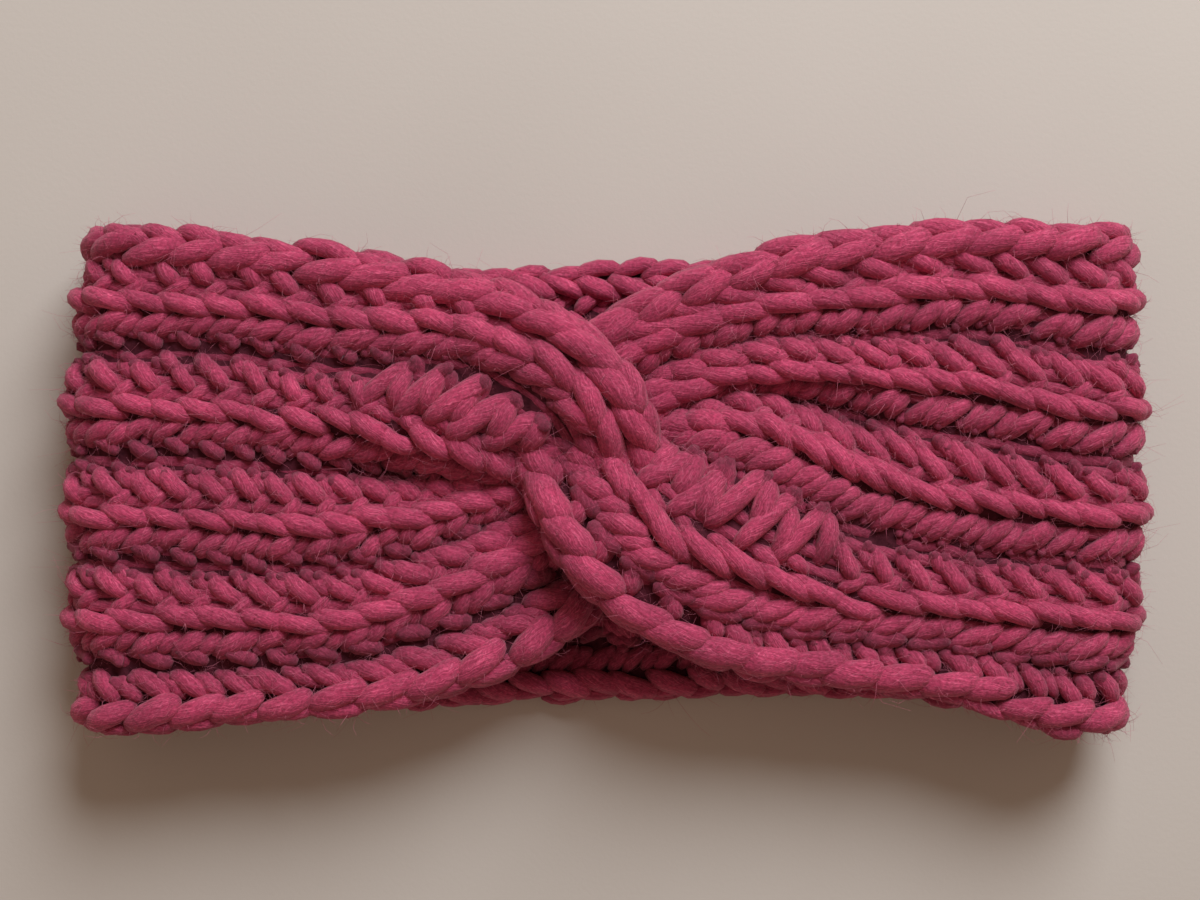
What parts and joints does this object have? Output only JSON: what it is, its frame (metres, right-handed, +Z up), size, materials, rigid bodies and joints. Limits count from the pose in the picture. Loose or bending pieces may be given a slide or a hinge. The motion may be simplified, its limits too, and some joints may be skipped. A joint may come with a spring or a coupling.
{
  "type": "ear warmer headband",
  "caption": "Crocheted ear warmer headband lying flat as a doubled loop, with lengthwise ribs, braided edges and a twist at the centre front.",
  "frame": {"origin": "on the surface the headband lies on, under the middle of the flattened loop", "axes": "+X along the flattened loop, +Y across the strip towards the pictured top edge, +Z up from the surface"},
  "size_m": [0.242, 0.111, 0.0375],
  "materials": {
    "yarn": "soft fuzzy wool yarn"
  },
  "bodies": {
    "root": {"band": "yarn"}
  },
  "joints": []
}
